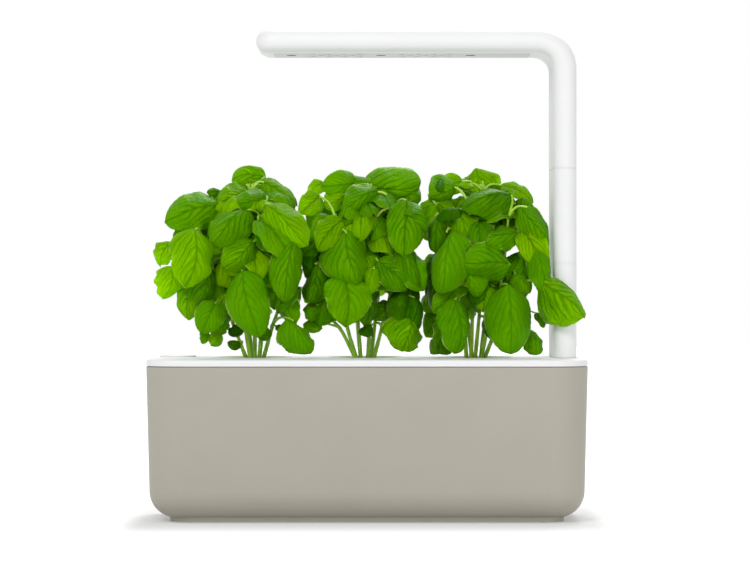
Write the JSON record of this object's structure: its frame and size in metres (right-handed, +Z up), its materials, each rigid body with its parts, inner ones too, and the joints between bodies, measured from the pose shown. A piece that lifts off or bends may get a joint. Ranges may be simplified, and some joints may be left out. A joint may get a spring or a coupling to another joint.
{
  "type": "countertop hydroponic garden",
  "caption": "Countertop garden: water tank and lid with plant cups and a float gauge, under a grow lamp on stacked extension arms.",
  "frame": {"origin": "middle of the footprint, on the surface that the feet stand on", "axes": "+Z up, +X towards the lamp's post, +Y towards the back"},
  "size_m": [0.3, 0.125, 0.335],
  "materials": {
    "tank_plastic": "satin moulded plastic, warm grey",
    "foot_rubber": "matt rubber",
    "lid_plastic": "semi-gloss moulded plastic, white",
    "inner_plastic": "moulded plastic, off white",
    "screw_steel": "zinc plated",
    "screw_black": "blackened steel",
    "circuit_board": "solder resist, green",
    "board_white": "solder resist, white",
    "connector_plastic": "black connector plastic",
    "connector_white": "natural connector plastic",
    "contact_metal": "plated contacts",
    "wire_sheath": "flexible insulation",
    "cup_plastic": "moulded plastic, white",
    "collar_plastic": "moulded plastic, off white",
    "wick_fabric": "felt",
    "soil": "peat based growing medium",
    "plant_stem": "fresh green stem",
    "plant_leaf": "satin, fresh basil leaf",
    "lamp_plastic": "semi-gloss moulded plastic, white",
    "cover_plastic": "moulded plastic, light grey",
    "spreader_metal": "mill finish",
    "white_light": "phosphor coated light",
    "red_light": "tinted light"
  },
  "bodies": {
    "tank": {"tank": "tank_plastic", "foot_pads": "foot_rubber"},
    "lid": {"lid": "lid_plastic", "lamp_dock": "inner_plastic", "lid_screws": "screw_steel", "control_board": "circuit_board", "power_jack": "connector_plastic", "jack_pin": "contact_metal", "dock_socket": "connector_plastic", "dock_wires": "wire_sheath", "float_cage": "inner_plastic"},
    "float": {"float_cap": "lid_plastic", "float_bulb": "inner_plastic"},
    "cup_1": {"plant_cup_1": "cup_plastic", "wick_1": "wick_fabric", "soil_1": "soil", "collar_1": "collar_plastic", "stems_1": "plant_stem", "leaves_1": "plant_leaf"},
    "cup_2": {"plant_cup_2": "cup_plastic", "wick_2": "wick_fabric", "soil_2": "soil", "collar_2": "collar_plastic", "stems_2": "plant_stem", "leaves_2": "plant_leaf"},
    "cup_3": {"plant_cup_3": "cup_plastic", "wick_3": "wick_fabric", "soil_3": "soil", "collar_3": "collar_plastic", "stems_3": "plant_stem", "leaves_3": "plant_leaf"},
    "extension_1": {"extension_shell_1": "lamp_plastic", "extension_socket_1": "connector_plastic", "extension_plug_1": "connector_plastic", "extension_pins_1": "contact_metal", "extension_wires_1": "wire_sheath"},
    "extension_2": {"extension_shell_2": "lamp_plastic", "extension_socket_2": "connector_plastic", "extension_plug_2": "connector_plastic", "extension_pins_2": "contact_metal", "extension_wires_2": "wire_sheath"},
    "lamp": {"lamp_shell": "lamp_plastic", "light_cover": "cover_plastic", "led_board": "board_white", "heat_spreader": "spreader_metal", "board_connector": "connector_white", "white_leds": "white_light", "red_leds": "red_light", "cover_screws": "screw_black", "lamp_plug": "connector_plastic", "lamp_pins": "contact_metal", "lamp_wires": "wire_sheath"}
  },
  "joints": [
    {"name": "lid_lift", "type": "slide", "parent": "tank", "child": "lid", "axis": [0, 0, 1], "range_m": [0, 0.105]},
    {"name": "float_travel", "type": "slide", "parent": "lid", "child": "float", "axis": [0, 0, 1], "range_m": [-0.02, 0]},
    {"name": "cup_1_lift", "type": "slide", "parent": "lid", "child": "cup_1", "axis": [0, 0, 1], "range_m": [0, 0.065]},
    {"name": "cup_2_lift", "type": "slide", "parent": "lid", "child": "cup_2", "axis": [0, 0, 1], "range_m": [0, 0.065]},
    {"name": "cup_3_lift", "type": "slide", "parent": "lid", "child": "cup_3", "axis": [0, 0, 1], "range_m": [0, 0.065]},
    {"name": "extension_1_lift", "type": "slide", "parent": "lid", "child": "extension_1", "axis": [0, 0, 1], "range_m": [0, 0.03]},
    {"name": "extension_2_lift", "type": "slide", "parent": "extension_1", "child": "extension_2", "axis": [0, 0, 1], "range_m": [0, 0.03]},
    {"name": "lamp_lift", "type": "slide", "parent": "extension_2", "child": "lamp", "axis": [0, 0, 1], "range_m": [0, 0.03]}
  ]
}
